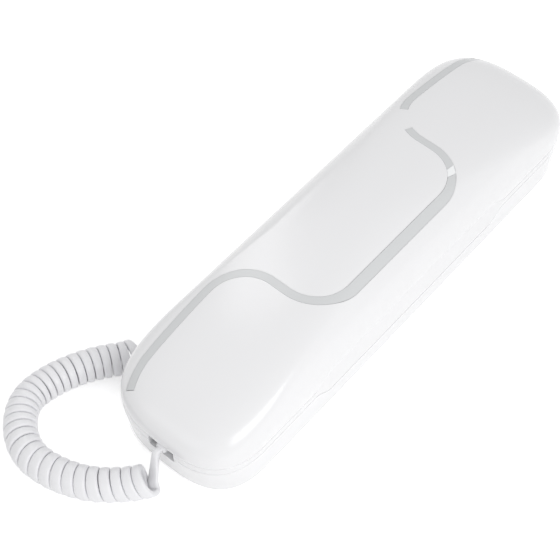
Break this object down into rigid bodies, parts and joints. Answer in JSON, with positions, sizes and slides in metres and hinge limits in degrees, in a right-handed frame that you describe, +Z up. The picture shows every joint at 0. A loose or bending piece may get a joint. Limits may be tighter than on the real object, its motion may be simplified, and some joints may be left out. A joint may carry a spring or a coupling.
{
  "type": "telephone",
  "caption": "White slimline wall phone lying on its back: arched handset with keys inside, flat base with wall keyholes, hook plunger, ringer switch and curly handset cord",
  "frame": {"origin": "on the resting surface, under the middle of the phone", "axes": "+Y to the ear end, +X away from the side with the cord sockets, +Z up through the handset"},
  "size_m": [0.0856, 0.2438, 0.043],
  "materials": {
    "shell_white": "gloss",
    "satin_white": "satin",
    "ribbon_grey": "pearl gloss",
    "clear": "clear gloss",
    "cord_white": "satin",
    "key_grey": "satin",
    "rubber_grey": "matte",
    "board_green": "satin",
    "steel": "zinc plated",
    "dark_plastic": "satin",
    "brass": "plain"
  },
  "bodies": {
    "base": {"cradle_cover": "shell_white", "rear_cover": "satin_white", "rubber_foot_1": "rubber_grey", "rubber_foot_2": "rubber_grey", "rubber_foot_3": "rubber_grey", "rubber_foot_4": "rubber_grey", "base_screw_1": "steel", "base_screw_2": "steel", "base_screw_3": "steel", "base_screw_4": "steel", "base_circuit_board": "board_green", "line_jack": "dark_plastic", "base_cord_jack": "dark_plastic", "hook_switch": "dark_plastic", "hook_spring": "steel", "ballast_plate": "steel", "ringer_disc": "brass", "cord_plug_base": "clear", "cord_lead_base": "cord_white", "cord_coil": "cord_white", "cord_lead_handset": "cord_white"},
    "handset": {"handset_front_shell": "shell_white", "handset_back_shell": "shell_white", "ribbon_inlay": "ribbon_grey", "ribbon_inlay_bend": "ribbon_grey", "ribbon_inlay_end": "ribbon_grey", "ring_lamp_window": "clear", "ring_lamp_led": "clear", "handset_circuit_board": "board_green", "handset_weight": "steel", "keypad_mat": "rubber_grey", "earpiece_receiver": "dark_plastic", "earpiece_gasket": "rubber_grey", "microphone_capsule": "steel", "microphone_boot": "rubber_grey", "handset_cord_jack": "dark_plastic", "handset_screw_1": "steel", "handset_screw_2": "steel", "cord_plug_handset": "clear"},
    "hook": {"hook_plunger": "satin_white"},
    "ringer": {"ringer_knob": "key_grey"},
    "button_1": {"key_1": "key_grey"},
    "button_2": {"key_2": "key_grey"},
    "button_3": {"key_3": "key_grey"},
    "button_4": {"key_4": "key_grey"},
    "button_5": {"key_5": "key_grey"},
    "button_6": {"key_6": "key_grey"},
    "button_7": {"key_7": "key_grey"},
    "button_8": {"key_8": "key_grey"},
    "button_9": {"key_9": "key_grey"},
    "button_star": {"key_star": "key_grey"},
    "button_0": {"key_0": "key_grey"},
    "button_hash": {"key_hash": "key_grey"},
    "button_flash": {"key_flash": "key_grey"},
    "button_mute": {"key_mute": "key_grey"},
    "button_redial": {"key_redial": "key_grey"}
  },
  "joints": [
    {"name": "handset_lift", "type": "slide", "parent": "base", "child": "handset", "axis": [0, 0, 1], "range_m": [0, 0.06]},
    {"name": "hook_rise", "type": "slide", "parent": "base", "child": "hook", "axis": [0, 0, 1], "range_m": [0, 0.003], "deforming": ["hook_spring"]},
    {"name": "ringer_slide", "type": "slide", "parent": "base", "child": "ringer", "axis": [0, 1, 0], "range_m": [0, 0.004]},
    {"name": "press_1", "type": "slide", "parent": "handset", "child": "button_1", "axis": [0, 0, 1], "range_m": [0, 0.0008], "stiffness_N_per_m": 400, "springref_m": -0.0008},
    {"name": "press_2", "type": "slide", "parent": "handset", "child": "button_2", "axis": [0, 0, 1], "range_m": [0, 0.0008], "stiffness_N_per_m": 400, "springref_m": -0.0008},
    {"name": "press_3", "type": "slide", "parent": "handset", "child": "button_3", "axis": [0, 0, 1], "range_m": [0, 0.0008], "stiffness_N_per_m": 400, "springref_m": -0.0008},
    {"name": "press_4", "type": "slide", "parent": "handset", "child": "button_4", "axis": [0, 0, 1], "range_m": [0, 0.0008], "stiffness_N_per_m": 400, "springref_m": -0.0008},
    {"name": "press_5", "type": "slide", "parent": "handset", "child": "button_5", "axis": [0, 0, 1], "range_m": [0, 0.0008], "stiffness_N_per_m": 400, "springref_m": -0.0008},
    {"name": "press_6", "type": "slide", "parent": "handset", "child": "button_6", "axis": [0, 0, 1], "range_m": [0, 0.0008], "stiffness_N_per_m": 400, "springref_m": -0.0008},
    {"name": "press_7", "type": "slide", "parent": "handset", "child": "button_7", "axis": [0, 0, 1], "range_m": [0, 0.0008], "stiffness_N_per_m": 400, "springref_m": -0.0008},
    {"name": "press_8", "type": "slide", "parent": "handset", "child": "button_8", "axis": [0, 0, 1], "range_m": [0, 0.0008], "stiffness_N_per_m": 400, "springref_m": -0.0008},
    {"name": "press_9", "type": "slide", "parent": "handset", "child": "button_9", "axis": [0, 0, 1], "range_m": [0, 0.0008], "stiffness_N_per_m": 400, "springref_m": -0.0008},
    {"name": "press_star", "type": "slide", "parent": "handset", "child": "button_star", "axis": [0, 0, 1], "range_m": [0, 0.0008], "stiffness_N_per_m": 400, "springref_m": -0.0008},
    {"name": "press_0", "type": "slide", "parent": "handset", "child": "button_0", "axis": [0, 0, 1], "range_m": [0, 0.0008], "stiffness_N_per_m": 400, "springref_m": -0.0008},
    {"name": "press_hash", "type": "slide", "parent": "handset", "child": "button_hash", "axis": [0, 0, 1], "range_m": [0, 0.0008], "stiffness_N_per_m": 400, "springref_m": -0.0008},
    {"name": "press_flash", "type": "slide", "parent": "handset", "child": "button_flash", "axis": [0, 0, 1], "range_m": [0, 0.0008], "stiffness_N_per_m": 400, "springref_m": -0.0008},
    {"name": "press_mute", "type": "slide", "parent": "handset", "child": "button_mute", "axis": [0, 0, 1], "range_m": [0, 0.0008], "stiffness_N_per_m": 400, "springref_m": -0.0008},
    {"name": "press_redial", "type": "slide", "parent": "handset", "child": "button_redial", "axis": [0, 0, 1], "range_m": [0, 0.0008], "stiffness_N_per_m": 400, "springref_m": -0.0008}
  ],
  "couplings": [
    {"joint": "hook_rise", "follows": "handset_lift", "ratio": 0.05}
  ]
}
